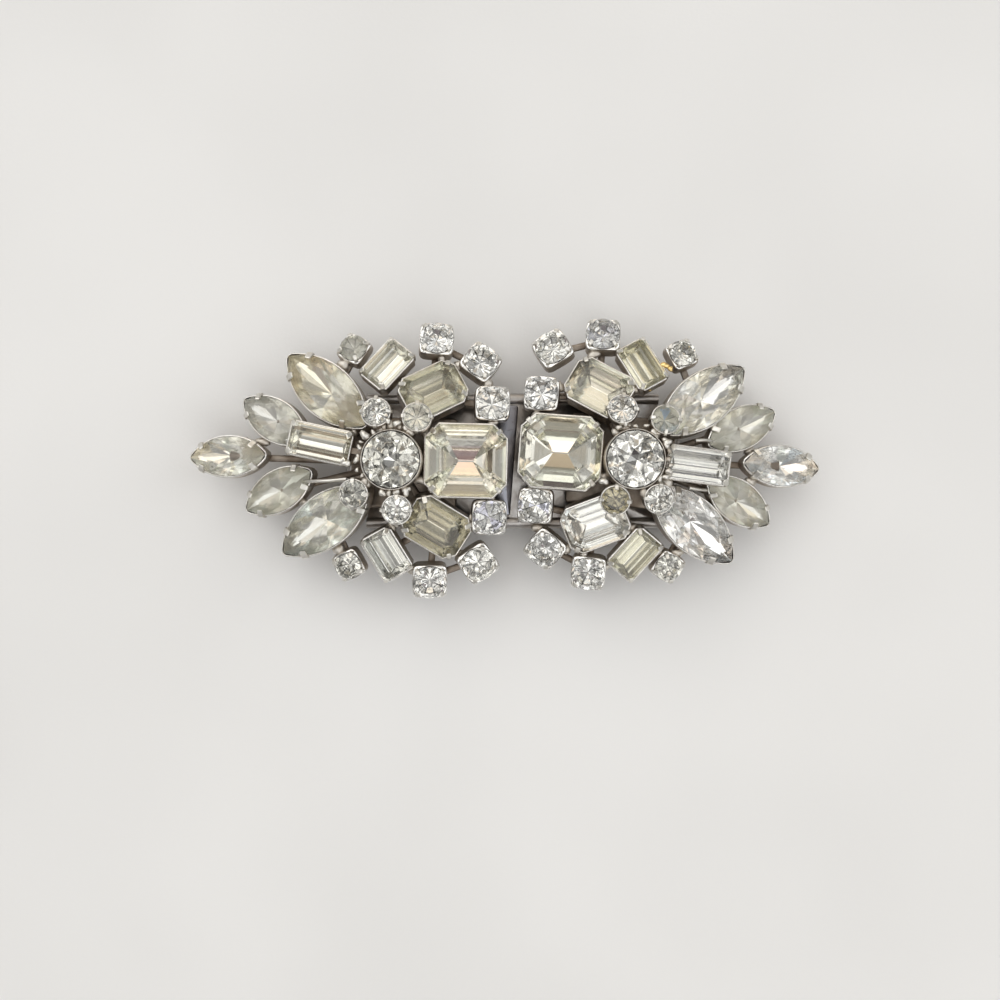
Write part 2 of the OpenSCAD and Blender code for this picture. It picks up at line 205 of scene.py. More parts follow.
def crown_finish():
    """The clear glass of a stone's face, with slight smudges."""
    material, f = finish_named("clear_glass")
    smear = f.span(f.noise(1.6, 4.0, 1.0), 0.45, 0.8, 0.0, 0.07)
    f.surface(
        base_color=(0.985, 0.98, 0.965),
        roughness=smear,
        ior=1.56,
        transmission_weight=1.0,
        normal=f.bump(f.noise(0.9, 2.0), 0.004, 0.3),
    )
    return material


def foil_finish():
    """The mirror foil behind a stone: yellowed and clouded with age, with painted light and shade
    facet by facet.
    """
    material, f = finish_named("backing_foil")
    tone = f.mark("tone")
    haze = f.mark("haze")
    # Painted light and shade for each facet, multiplied into the foil's colour
    shade = f.node("Attribute", {"attribute_name": "shade"})
    cloud = f.noise(2.4, 3.0, 0.8)
    fine = f.noise(0.35, 4.0)
    old = f.span(tone + (cloud - 0.5) * 0.3, 0.0, 1.0)
    base = f.node(
        "ValToRGB",
        {
            "stops": [
                (0.0, (0.985, 0.985, 0.98)),
                (0.35, (0.965, 0.957, 0.90)),
                (0.65, (0.89, 0.876, 0.77)),
                (1.0, (0.61, 0.573, 0.46)),
            ]
        },
        {"Fac": old},
    )
    f.surface(
        base_color=f.mix(1.0, base, shade, "MULTIPLY"),
        metallic=1.0 - haze,
        roughness=0.04 + haze * 0.45 + f.span(fine, 0.5, 0.8, 0.0, 0.10),
        normal=f.bump(cloud, 0.02, 0.4),
    )
    return material


# ---------------------------------------------------------------- stones

KINDS = {
    "tip_marquise": "marquise",
    "small_marquise": "marquise",
    "large_marquise": "marquise",
    "long_baguette": "octagon",
    "short_baguette": "octagon",
    "large_octagon": "octagon",
    "medium_octagon": "octagon",
    "centre_round": "bezel",
    "small_round": "square",
    "outer_round": "square",
    "shoulder_round": "square",
    "inner_round": "square",
    "accents": "round",
}
# How far the round stones are turned in their cups, and each clip on the frame, in degrees
CUP_TURNS = {"small_round": 30, "shoulder_round": 35, "accents": 45}
CLIP_TURNS = {"left": -1.2, "right": -4.4}
# A marquise's tips are this much shorter than where its two arcs meet
BLUNT = 0.965
# How yellowed a stone's foil is, how clouded, and how bright its painted facet light is
FOILS = {
    "tip_marquise": (0.38, 0.24, 1.0),
    "small_marquise": (0.46, 0.32, 0.95),
    "large_marquise": (0.38, 0.2, 1.0),
    "long_baguette": (0.35, 0.06, 0.97),
    "short_baguette": (0.42, 0.10, 0.97),
    "large_octagon": (0.34, 0.08, 0.95),
    "medium_octagon": (0.5, 0.16, 0.93),
    "centre_round": (0.3, 0.0, 0.91),
    "small_round": (0.3, 0.06, 0.97),
    "outer_round": (0.2, 0.02, 0.92),
    "shoulder_round": (0.2, 0.02, 0.95),
    "inner_round": (0.15, 0.02, 0.91),
    "accents": (0.25, 0.02, 0.95),
    # Single stones that differ from the rest of their sort
    "left_accents_0": (0.35, 0.05, 0.9),
    "left_accents_1": (0.25, 0.02, 0.9),
    "left_accents_3": (0.45, 0.25, 1.0),
    "left_large_octagon": (0.34, 0.03, 0.97),
    "left_long_baguette": (0.42, 0.04, 1.0),
    "left_lower_inner_round": (0.15, 0.02, 0.88),
    "left_lower_medium_octagon": (0.78, 0.1, 0.87),
    "left_lower_short_baguette": (0.3, 0.04, 0.92),
    "left_lower_small_round": (0.3, 0.04, 0.85),
    "left_tip_marquise": (0.38, 0.18, 1.0),
    "left_upper_inner_round": (0.15, 0.02, 0.95),
    "left_upper_large_marquise": (0.42, 0.2, 0.96),
    "left_upper_medium_octagon": (0.66, 0.16, 0.97),
    "left_upper_outer_round": (0.15, 0.02, 1.0),
    "left_upper_shoulder_round": (0.2, 0.02, 1.0),
    "left_upper_small_round": (0.5, 0.3, 0.99),
    "right_accents_0": (0.95, 0.06, 0.87),
    "right_accents_1": (0.25, 0.02, 0.87),
    "right_accents_3": (0.5, 0.4, 1.0),
    "right_centre_round": (0.25, 0.0, 0.95),
    "right_large_octagon": (0.3, 0.03, 1.0),
    "right_long_baguette": (0.2, 0.03, 0.94),
    "right_lower_large_marquise": (0.06, 0.06, 1.0),
    "right_lower_medium_octagon": (0.32, 0.08, 0.91),
    "right_lower_outer_round": (0.2, 0.02, 0.9),
    "right_lower_short_baguette": (0.6, 0.14, 0.92),
    "right_lower_shoulder_round": (0.2, 0.02, 0.87),
    "right_tip_marquise": (0.18, 0.12, 1.0),
    "right_upper_inner_round": (0.15, 0.02, 0.9),
    "right_upper_large_marquise": (0.22, 0.12, 1.0),
    "right_upper_medium_octagon": (0.5, 0.14, 0.86),
    "right_upper_outer_round": (0.2, 0.02, 0.84),
    "right_upper_short_baguette": (0.6, 0.14, 1.0),
    "right_upper_small_round": (0.3, 0.02, 1.0),
}
# Painted reflections on single facets, as patches of painted light, shade and coloured glints:
# stone, the way they face and how far round they reach in degrees, the band of the stone they lie
# in from middle (0) to edge (1), colour
PAINTED_PATCHES = [
    ("left_large_octagon", 90, 45, 0.0, 0.42, (0.86, 0.78, 0.80)),
    ("left_large_octagon", 270, 45, 0.0, 0.42, (1.0, 0.93, 0.86)),
    ("right_large_octagon", 270, 45, 0.0, 0.42, (0.95, 0.87, 0.77)),
    ("right_large_octagon", 270, 45, 0.42, 0.75, (0.56, 0.57, 0.53)),
    ("left_large_octagon", 0, 50, 0.75, 0.97, (0.93, 0.96, 0.92)),
    ("left_large_octagon", 180, 50, 0.75, 0.97, (1.0, 0.97, 0.95)),
    ("right_large_octagon", 0, 50, 0.75, 0.97, (0.95, 0.96, 0.87)),
    ("left_upper_large_marquise", 200, 30, 0.0, 1.0, (1.0, 0.95, 0.84)),
    ("left_upper_large_marquise", 150, 18, 0.3, 1.0, (1.0, 0.91, 0.83)),
    ("right_upper_large_marquise", 60, 25, 0.0, 0.8, (1.0, 0.97, 0.88)),
    ("left_lower_large_marquise", 122, 16, 0.25, 0.65, (0.88, 0.95, 1.0)),
    ("left_lower_large_marquise", 58, 10, 0.25, 0.65, (0.90, 1.0, 0.92)),
    ("right_tip_marquise", 50, 18, 0.25, 1.0, (0.86, 0.93, 1.0)),
    ("right_tip_marquise", 0, 16, 0.45, 1.0, (1.0, 0.93, 0.84)),
    ("left_tip_marquise", 160, 24, 0.4, 1.0, (1.0, 0.93, 0.82)),
    ("right_lower_medium_octagon", 270, 30, 0.8, 0.97, (1.0, 0.92, 0.82)),
    ("left_lower_inner_round", -45, 24, 0.2, 0.7, (0.82, 0.82, 0.96)),
    ("right_lower_inner_round", -5, 24, 0.2, 0.7, (0.82, 0.83, 0.97)),
    ("right_upper_outer_round", 40, 24, 0.2, 0.7, (0.88, 0.89, 0.98)),
    ("right_accents_3", 45, 24, 0.2, 0.7, (0.58, 0.72, 1.0)),
    ("left_long_baguette", 90, 181, 0.5, 0.75, (0.50, 0.44, 0.38)),
    ("right_long_baguette", 90, 181, 0.5, 0.75, (0.58, 0.58, 0.60)),
    ("left_lower_short_baguette", 90, 181, 0.5, 0.75, (0.55, 0.56, 0.55)),
    ("left_upper_short_baguette", 90, 181, 0.5, 0.75, (0.72, 0.70, 0.66)),
    ("right_upper_short_baguette", 90, 181, 0.5, 0.75, (0.88, 0.86, 0.80)),
    ("right_lower_short_baguette", 90, 181, 0.5, 0.75, (0.74, 0.71, 0.66)),
]
# Faint colours painted on single facets of the marquises and octagons, as painted flashes
PAINTED_FLASHES = [(1.0, 0.95, 0.91), (0.94, 0.97, 1.0), (1.0, 0.98, 0.92), (0.97, 1.0, 0.98)]
# Painted light and shade on the foil behind the small rounds: near the edge and on their eight wide
# rays
PAINTED_EDGE_LIGHT = (1.0, 0.62, 0.95, 0.85)
PAINTED_RAY_LIGHT = (1.0, 1.0, 0.96, 0.86, 0.6)
RAY_REACH = 6
# The share of a centre stone's facets given painted light; the others get painted shade
PAINTED_LIT_SHARE = 0.58
# Slope of the facets on either side of the keel or point, in degrees
SLOPES = {"left_large_octagon": 36.0, "right_large_octagon": 43.0}
SLOPE = 38.5
# The foiled backs reach a little further down into their cups than the plain solids
DEEPER = 0.3
# Half the thickness of a stone's edge
GIRDLE = 0.1
# How far in from the edge a stepped back has its keel, as a share of the half width
KEEL = 0.98
# A facet whose way out leans up more than this is clear glass, and the others are foiled
FOIL_LIMIT = 0.3
# Stones whose lower point or keel was ground off centre: along and across
OFF_CENTRE = {
    "left_upper_large_marquise": (0.5, 0.1),
    "right_lower_large_marquise": (-0.4, 0.15),
    "left_tip_marquise": (0.3, 0.1),
}


def painted_light_of_facet(seat, face, chance):
    """The painted light and shade on one facet's foil: painted reflections, dark facets and
    coloured glints, against the colour of its stone.
    """
    way = face.calc_center_median() - seat.middle
    x, y = way.dot(seat.x), way.dot(seat.y)
    around = math.degrees(math.atan2(y, x))
    if seat.kind == "octagon":
        band = max(abs(x) / seat.a, abs(y) / seat.b)
    else:
        band = math.hypot(x, y) / seat.a
    glow = seat.foil()[2]
    flash = chance.random()
    spread = chance.random()
    # Painted patches of light, shade and coloured glints come first
    for key, middle, reach, nearest, farthest, colour in PAINTED_PATCHES:
        turned = abs((around - middle + 180) % 360 - 180)
        if key == seat.key and turned < reach and nearest < band < farthest:
            return tuple(c * glow for c in colour)
    colour = None
    # Painted light on some facets and painted shade on the others, by kind of stone
    if seat.kind == "bezel":
        bright = 1.0 - 0.06 * spread if spread < PAINTED_LIT_SHARE else 0.60 - 0.32 * flash
    elif seat.kind in ("square", "round"):
        if band > 0.7:
            bright = PAINTED_EDGE_LIGHT[int(spread * len(PAINTED_EDGE_LIGHT))]
        elif abs((around + 22.5) % 45 - 22.5) < RAY_REACH:
            bright = PAINTED_RAY_LIGHT[int(spread * len(PAINTED_RAY_LIGHT))]
        else:
            bright = 0.28 + 0.2 * spread
    elif "baguette" in seat.piece:
        bright = 0.84 + 0.16 * spread
    else:
        bright = 0.80 + 0.20 * spread
        # A painted flash of faint colour on some facets
        if flash > 0.8:
            colour = PAINTED_FLASHES[int(flash * 1000) % len(PAINTED_FLASHES)]
    return tuple(c * glow for c in colour or (bright, bright, bright))


def step_cut(seat):
    """An oblong stone: stepped crown, stepped back and a keel below."""
    a, b, c = seat.a, seat.b, seat.corner
    end, table = (0.5, 0.30) if "baguette" in seat.piece else (0.92, 0.42)
    rise = math.tan(math.radians(SLOPES.get(seat.node, SLOPE))) * b
    low = -seat.depth - DEEPER
    if seat.node in SLOPES:
        # One slope from the edge to the keel, in three rows
        low = max(low, -GIRDLE - KEEL * rise)
        breaks = ((0.24, 0.75), (0.58, 0.41))
        steps = [(inset, share, low + (KEEL - inset) * rise) for inset, share in breaks]
    else:
        # Two steep rows, and the slope to the keel below them
        knee = 0.46
        steep = -low - GIRDLE - (KEEL - knee) * rise
        steps = [(0.24, 0.75, -GIRDLE - 0.57 * steep), (knee, 0.3, -GIRDLE - steep)]
    # How far in from the edge, how much of the corner is left, and the height
    levels = [
        (table, 0.75, seat.crown),
        (table * 0.79, 0.8, seat.crown * 0.9),
        (table * 0.48, 0.9, seat.crown * 0.62),
        (0.0, 1.0, GIRDLE),
        (0.0, 1.0, -GIRDLE),
        *steps,
        (KEEL, 0.02, low),
    ]
    stone = bmesh.new()
    rows = []
    for inset, share, z in levels:
        x, y, cut = a - inset * b * end, b - inset * b, c * share
        corners = [(x, y - cut), (x - cut, y), (cut - x, y), (-x, y - cut)]
        corners += [(-px, -py) for px, py in corners]
        rows.append([stone.verts.new(seat.at(px, py, z)) for px, py in corners])
    for upper, lower in zip(rows, rows[1:]):
        for k in range(8):
            n = (k + 1) % 8
            stone.faces.new((upper[k], upper[n], lower[n], lower[k]))
    stone.faces.new(rows[0])
    stone.faces.new(rows[-1][::-1])
    return stone


def brilliant_cut(seat, chance):
    """A round or pointed stone: table, stars, kites and edge facets, and a cone below."""
    pointed = seat.kind == "marquise"
    table, star, low_crown = (0.62, 0.82, 0.86) if pointed else (0.66, 0.84, 0.8)
    crown = seat.crown * low_crown
    half_step = math.cos(math.radians(22.5))
    star_z = crown - (star * half_step - table) / (1 - table) * (crown - GIRDLE)
    shift_x, shift_y = OFF_CENTRE.get(seat.node, (0.0, 0.0))

    def edge_point(t):
        if not pointed:
            return on_circle(seat.a, t)
        r, half = seat.arc()
        side = 1 if t % 360 <= 180 else -1
        swing = t % 360 if side > 0 else 360 - t % 360
        angle = math.radians(90) - half * (1 - swing / 90)
        x = max(-seat.a, min(seat.a, r * math.cos(angle)))
        return x, side * (r * math.sin(angle) - r + seat.b)

    stone = bmesh.new()

    def ring(share, z, turns, uneven=0.0):
        made = []
        for t in turns:
            x, y = edge_point(t)
            lift = uneven * chance.uniform(0, 1)
            made.append(stone.verts.new(seat.at(share * x, share * y, z + lift)))
        return made

    def close(first, second):
        """Quads between two rings of as many points."""
        count = len(first)
        for k in range(count):
            n = (k + 1) % count
            stone.faces.new((first[k], second[k], second[n], first[n]))

    eights = [45 * k for k in range(8)]
    sixteens = [22.5 * k for k in range(16)]
    tables = ring(table, crown, eights)
    stars = ring(star, star_z, [t + 22.5 for t in eights])
    upper = ring(1.0, GIRDLE, sixteens)
    stone.faces.new(tables)
    for k in range(8):
        n = (k + 1) % 8
        e, m, f = 2 * k, 2 * k + 1, (2 * k + 2) % 16
        for corners in (
            (tables[k], stars[k], tables[n]),
            (tables[n], stars[k], upper[f]),
            (tables[k], upper[e], stars[k]),
            (stars[k], upper[e], upper[m]),
            (stars[k], upper[m], upper[f]),
        ):
            stone.faces.new(corners)
    if pointed:
        depth = seat.depth
        heart_z = -(depth - 0.5 * half_step * (depth - GIRDLE))
        lower = ring(1.0, -GIRDLE, sixteens)
        hearts = ring(0.5, heart_z, [t + 22.5 for t in eights])
        point = stone.verts.new(seat.at(shift_x, shift_y, -depth))
        close(upper, lower)
        for k in range(8):
            e, m, f = 2 * k, 2 * k + 1, (2 * k + 2) % 16
            stone.faces.new((hearts[k], lower[m], lower[e]))
            stone.faces.new((hearts[k], lower[f], lower[m]))
            stone.faces.new((point, hearts[k], lower[e]))
            stone.faces.new((point, lower[f], hearts[k]))
        return stone
    # A back too deep for its cup is flattened until it fits
    squeeze = min(1.0, (seat.depth + DEEPER - GIRDLE) / (0.89 * seat.a))
    if seat.kind in ("square", "round"):
        # Wide and narrow facets in turn, steep as far as the shoulder
        wedges = [t + turn for t in eights for turn in (-18, 18)]
        inside = 0.72
        shoulder = -GIRDLE - (1 - inside) * math.tan(math.radians(48)) * seat.a * squeeze
        tip = shoulder - inside * math.tan(math.radians(SLOPE)) * seat.a * squeeze
        lower = ring(1.0, -GIRDLE, wedges)
        inner = ring(inside, shoulder, wedges)
        close(upper, lower)
        close(lower, inner)
        point = stone.verts.new(seat.at(0, 0, tip))
        for k in range(16):
            stone.faces.new((inner[k], point, inner[(k + 1) % 16]))
        return stone
    # The centre stones are cut unevenly below: corners strewn over a bowl, and the hull of them
    lower = ring(1.0, -GIRDLE, sixteens)
    close(upper, lower)
    low = 0.82 * seat.a * squeeze
    count = 38
    golden_turn = 137.5
    places = [v.co.copy() for v in lower]
    for k in range(count):
        share = 0.92 * math.sqrt((k + 0.5) / count)
        x, y = on_circle(share * seat.a, golden_turn * k + chance.uniform(-14, 14))
        places.append(seat.at(x, y, -GIRDLE - low * (1 - share**1.3)))
    shell = bmesh.new()
    shell_points = [shell.verts.new(p) for p in places]
    bmesh.ops.convex_hull(shell, input=shell_points)
    bmesh.ops.recalc_face_normals(shell, faces=shell.faces)
    own = dict(zip(shell_points, lower))
    for face in shell.faces:
        if face.normal.dot(seat.up) < FOIL_LIMIT:
            for vertex in face.verts:
                if vertex not in own:
                    own[vertex] = stone.verts.new(vertex.co)
            stone.faces.new([own[vertex] for vertex in face.verts])
    shell.free()
    return stone


def merge_facets(stone, degrees):
    """Makes one face of neighbours that lie nearly in one plane."""
    limit = math.radians(degrees)
    bmesh.ops.dissolve_limit(stone, angle_limit=limit, verts=stone.verts, edges=stone.edges)


def faceted(seat, chance):
    stone = step_cut(seat) if seat.kind == "octagon" else brilliant_cut(seat, chance)
    bmesh.ops.recalc_face_normals(stone, faces=stone.faces)
    if seat.kind not in ("bezel", "octagon"):
        merge_facets(stone, 2)
    return stone


def loose_solids(name):
    """The loose solids of a node, as points and faces, in a steady order."""
    whole = bmesh.new()
    whole.from_mesh(solids[name].data)
    bmesh.ops.remove_doubles(whole, verts=whole.verts, dist=2e-6)
    whole.verts.ensure_lookup_table()
    seen = set()
    found = []
    for start in whole.verts:
        if start in seen:
            continue
        seen.add(start)
        group = [start]
        for vertex in group:
            for edge in vertex.link_edges:
                other = edge.other_vert(vertex)
                if other not in seen:
                    seen.add(other)
                    group.append(other)
        number = {vertex: k for k, vertex in enumerate(group)}
        own = [face for face in whole.faces if face.verts[0] in number]
        faces = [[number[v] for v in face.verts] for face in own]
        found.append(([v.co / MM for v in group], faces))
    whole.free()
    found.sort(key=lambda solid: (round(solid[0][0].x, 1), round(solid[0][0].y, 1)))
    return found


def facets_of(solid):
    """A stone with each of its facets as one face."""
    points, faces = solid
    stone = bmesh.new()
    corners = [stone.verts.new(p) for p in points]
    for face in faces:
        stone.faces.new([corners[k] for k in face])
    bmesh.ops.recalc_face_normals(stone, faces=stone.faces)
    merge_facets(stone, 2.5)
    return stone


def piece_of(node):
    """A node's name without the clip and the row."""
    return node.split("_", 1)[-1].removeprefix("upper_").removeprefix("lower_")


class Seat:
    """Where a stone sits: its middle, its axes and its outline, read from the stone."""

    def __init__(self, node, solid, number):
        self.node = node
        self.key = f"{node}_{number}" if node.endswith("_accents") else node
        self.clip = node.split("_")[0]
        self.piece = piece_of(node)
        self.kind = KINDS[self.piece]
        points = solid[0]
        stone = facets_of(solid)
        table = max((f for f in stone.faces if f.normal.z > 0.7), key=lambda f: f.calc_area())
        self.up = table.normal.copy()
        top = table.calc_center_bounds()
        stone.free()
        first = self.up.orthogonal().normalized()
        second = self.up.cross(first)
        flat = [Vector(((p - top).dot(first), (p - top).dot(second))) for p in points]
        high = [(p - top).dot(self.up) for p in points]
        hull = [flat[k] for k in convex_hull_2d(flat)]
        edge = [h for p, h in zip(flat, high) if min((p - q).length for q in hull) < 0.02]
        level = sum(edge) / len(edge)
        if self.kind == "marquise":
            way = max((p - q for p in hull for q in hull), key=lambda d: d.length)
        elif self.kind == "octagon":
            way = max((hull[k] - hull[k - 1] for k in range(len(hull))), key=lambda d: d.length)
        else:
            side = -1 if self.clip == "left" else 1
            half = -1 if "_lower_" in node else 1
            turn = side * half * CUP_TURNS.get(self.piece, 0) + CLIP_TURNS[self.clip]
            along, _ = axes(turn)
            way = Vector((along.dot(first), along.dot(second)))
        way.normalize()
        if (first * way.x + second * way.y).x < 0:
            way = -way
        self.x = first * way.x + second * way.y
        self.y = self.up.cross(self.x)
        self.middle = top + self.up * level
        self.a = max(abs(p.dot(way)) for p in hull)
        self.b = max(abs(p.x * -way.y + p.y * way.x) for p in hull)
        self.crown = -level
        self.depth = level - min(high)
        self.corner = 0.0
        if self.kind == "octagon":
            longest = max((hull[k] - hull[k - 1]).length for k in range(len(hull)))
            self.corner = self.a - longest / 2
            if self.corner < 0:
                self.a, self.b = self.b, self.a

    def at(self, x, y, z):
        return self.middle + self.x * x + self.y * y + self.up * z

    def foil(self):
        """How yellowed and clouded its foil is, and how bright its painted facet light is."""
        return FOILS.get(self.key, FOILS[self.piece])

    def edge(self):
        return [self.at(x, y, 0) for x, y, _ in self.outline()]

    def along(self, degrees):
        t = math.radians(degrees)
        return self.x * math.cos(t) + self.y * math.sin(t)

    def arc(self):
        """Radius and half opening of a marquise's two arcs."""
        a = self.a / BLUNT
        r = (a * a + self.b * self.b) / (2 * self.b)
        return r, math.asin(a / r)

    def outline(self):
        """Points of the edge with the way out from each: x, y, degrees."""
        a, b, c = self.a, self.b, self.corner
        if self.kind == "marquise":
            r, half = self.arc()
            half = math.degrees(half)
            found = []
            for side, turned in ((0, 1), (180, -1)):
                for k in range(5):
                    found.append((turned * a, 0.0, side - 60 + 30 * k))
                for k in range(17):
                    angle = 90 - half * (0.93 - 1.86 * k / 16)
                    t = math.radians(angle)
                    x, y = r * math.cos(t), r * math.sin(t) - r + b
                    found.append((turned * x, turned * y, side + angle))
            return found
        if self.kind == "octagon":
            corners = [(a, b - c, 22.5), (a - c, b, 67.5), (c - a, b, 112.5), (-a, b - c, 157.5)]
            corners += [(-x, -y, t + 180) for x, y, t in corners]
            return [(x, y, t + turn) for x, y, t in corners for turn in (-22.5, -8, 8, 22.5)]
        return [(*on_circle(a, 9 * k), 9 * k) for k in range(40)]

    def claws(self):
        """Where the claws stand: x, y and the way out."""
        a, b, c = self.a, self.b, self.corner
        if self.kind == "marquise":
            r, half = self.arc()
            places = []
            for up in (1, -1):
                for way in (1, -1):
                    t = math.pi / 2 - way * 0.62 * half
                    x, y = r * math.cos(t), r * math.sin(t) - r + b
                    places.append((x, up * y, up * math.degrees(t)))
            return places
        if self.kind == "octagon":
            return [
                (x * (a - c / 2), y * (b - c / 2), math.degrees(math.atan2(y, x)))
                for x in (1, -1)
                for y in (1, -1)
            ]
        return [(*on_circle(a, t), t) for t in (45, 135, 225, 315)]


def keep(mesh, name, slot, stands_for, *finishes):
    """Makes one piece, in metres, of a mesh in millimetres."""
    bmesh.ops.scale(mesh, vec=(MM, MM, MM), verts=mesh.verts)
    data = bpy.data.meshes.new(name)
    mesh.to_mesh(data)
    mesh.free()
    for finish in finishes:
        data.materials.append(finish)
    piece = bpy.data.objects.new(name, data)
    SCENE.collection.objects.link(piece)
    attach(piece, "root")
    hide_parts(*stands_for)


def cut_stones(name, seats, glass, foil, chance):
    """The stones of a node, each with softened edges, clear above and foiled below."""
    whole = bmesh.new()
    # Painted light and shade for each facet, carried to the foil's colour
    shade = whole.faces.layers.float_color.new("shade")
    tone = whole.faces.layers.float.new("tone")
    haze = whole.faces.layers.float.new("haze")
    for seat in seats:
        stone = faceted(seat, chance)
        own = stone.faces.layers.float_color.new("shade")
        for face in stone.faces:
            face.material_index = 1 if face.normal.dot(seat.up) < FOIL_LIMIT else 0
            # Painted light and shade for this facet
            face[own] = (*painted_light_of_facet(seat, face, chance), 1.0)
        softened = [e for e in stone.edges if any(f.material_index == 0 for f in e.link_faces)]
        bmesh.ops.bevel(
            stone,
            geom=softened,
            offset=0.03,
            segments=1,
            affect="EDGES",
            clamp_overlap=True,
        )
        aged, clouded, _ = seat.foil()
        aged += chance.uniform(-0.06, 0.06)
        corners = {v: whole.verts.new(v.co) for v in stone.verts}
        for face in stone.faces:
            made = whole.faces.new([corners[v] for v in face.verts])
            made.material_index = face.material_index
            made[shade] = face[own]
            made[tone] = aged
            made[haze] = clouded
        stone.free()
    keep(whole, name + "_glass", "clear_stone", [name], glass, foil)


# ---------------------------------------------------------------- metal

# The section of a flat bar, in half widths, with its corners taken off
SECTION = [(1, 0.5), (0.8, 1), (-0.8, 1), (-1, 0.5), (-1, -0.5), (-0.8, -1), (0.8, -1), (1, -0.5)]


class Metalwork:
    """Closed skins drawn over rings of points, with the age of each ring."""

    def __init__(self):
        self.mesh = bmesh.new()
        self.age = self.mesh.verts.layers.float.new("age")

    def skin(self, rings, ages):
        rows = []
        for ring, age in zip(rings, ages):
            row = [self.mesh.verts.new(p) for p in ring]
            for vertex in row:
                vertex[self.age] = age
            rows.append(row)
        count = len(rows[0])
        for low, high in zip(rows, rows[1:]):
            for k in range(count):
                n = (k + 1) % count
                self.mesh.faces.new((low[k], low[n], high[n], high[k]))
        self.mesh.faces.new(rows[0][::-1])
        self.mesh.faces.new(rows[-1])

    def strip(self, path, widths, thicknesses, side, ages):
        """A flat bar along a path, as wide as given towards its side."""
        rings = []
        for k, p in enumerate(path):
            way = path[min(k + 1, len(path) - 1)] - path[max(k - 1, 0)]
            flat = way.cross(side).normalized()
            half, deep = widths[k] / 2, thicknesses[k] / 2
            rings.append([p + side * (half * u) + flat * (deep * v) for u, v in SECTION])
        self.skin(rings, ages)

    def bar(self, start, end, width, thickness, age, parts):
        """A straight flat bar that lies level."""
        path = [start.lerp(end, k / parts) for k in range(parts + 1)]
        side = (end - start).cross(UP).normalized()
        n = len(path)
        self.strip(path, [width] * n, [thickness] * n, side, [age] * n)

    def wire(self, path, radius, age, sides=10):
        """A round wire along a path."""
        slanting = Vector((0.31, 0.17, 0.93))
        turns = [2 * math.pi * n / sides for n in range(sides)]
        rings = []
        for k, p in enumerate(path):
            way = path[min(k + 1, len(path) - 1)] - path[max(k - 1, 0)]
            first = way.cross(slanting).normalized()
            second = way.cross(first).normalized()
            rings.append([p + (first * math.cos(t) + second * math.sin(t)) * radius for t in turns])
        self.skin(rings, [age] * len(path))

    def blob(self, middle, size, seed, age):
        """A lump of solder, rounded and a little uneven."""
        wide, deep, high = size
        rows, sides = 7, 12
        rings = []
        for k in range(rows):
            t = math.pi * (0.06 + 0.88 * k / (rows - 1))
            ring = []
            for n in range(sides):
                p = 2 * math.pi * n / sides
                uneven = 1 + 0.2 * math.sin(2 * p + seed) + 0.14 * math.sin(3 * p - 2 * seed + t)
                x = wide * math.sin(t) * math.cos(p) * uneven
                y = deep * math.sin(t) * math.sin(p) * uneven
                ring.append(middle + Vector((x, y, -high * math.cos(t))))
            rings.append(ring)
        self.skin(rings, [age] * rows)

    def piece(self, name, slot, stands_for, finish, crease=55):
        bmesh.ops.recalc_face_normals(self.mesh, faces=self.mesh.faces)
        for face in self.mesh.faces:
            face.smooth = True
        for edge in self.mesh.edges:
            if edge.is_manifold and edge.calc_face_angle() > math.radians(crease):
                edge.smooth = False
        keep(self.mesh, name, slot, stands_for, finish)


# A higher power gives the square cups sharper corners
SQUARENESS = 7
# The cups' feet lie this far below the plain solids' stones, and their floors are this thick
CUP_FOOT = 0.4
CUP_FLOOR = 0.06


def rounded_square(half, degrees):
    x, y = on_circle(1, degrees)
    r = half / (abs(x) ** SQUARENESS + abs(y) ** SQUARENESS) ** (1 / SQUARENESS)
    return r * x, r * y


def square_cup(metal, seat, inside, low):
    """A cup that is round inside and square outside."""
    # How square, half the width more than the stone's, height, age
    levels = [
        (0.0, 0.04, inside, 1.0),
        (0.0, 0.012, -0.16, 0.5),
        (0.1, 0.03, -0.12, 0.35),
        (0.4, 0.05, -0.13, 0.2),
        (0.86, 0.04, -0.2, 0.15),
        (0.9, 0.08, -0.32, 0.6),
        (0.9, 0.10, low * 0.5, 0.75),
        (0.9, 0.09, low + 0.25, 0.9),
        (0.9, 0.03, low, 1.0),
    ]
    rings = []
    for share, out, z, _ in levels:
        ring = []
        for k in range(48):
            round_x, round_y = on_circle(seat.a + out, 7.5 * k)
            square_x, square_y = rounded_square(seat.a + out, 7.5 * k)
            x = round_x + share * (square_x - round_x)
            y = round_y + share * (square_y - round_y)
            ring.append(seat.at(x, y, z))
        rings.append(ring)
    metal.skin(rings, [level[3] for level in levels])


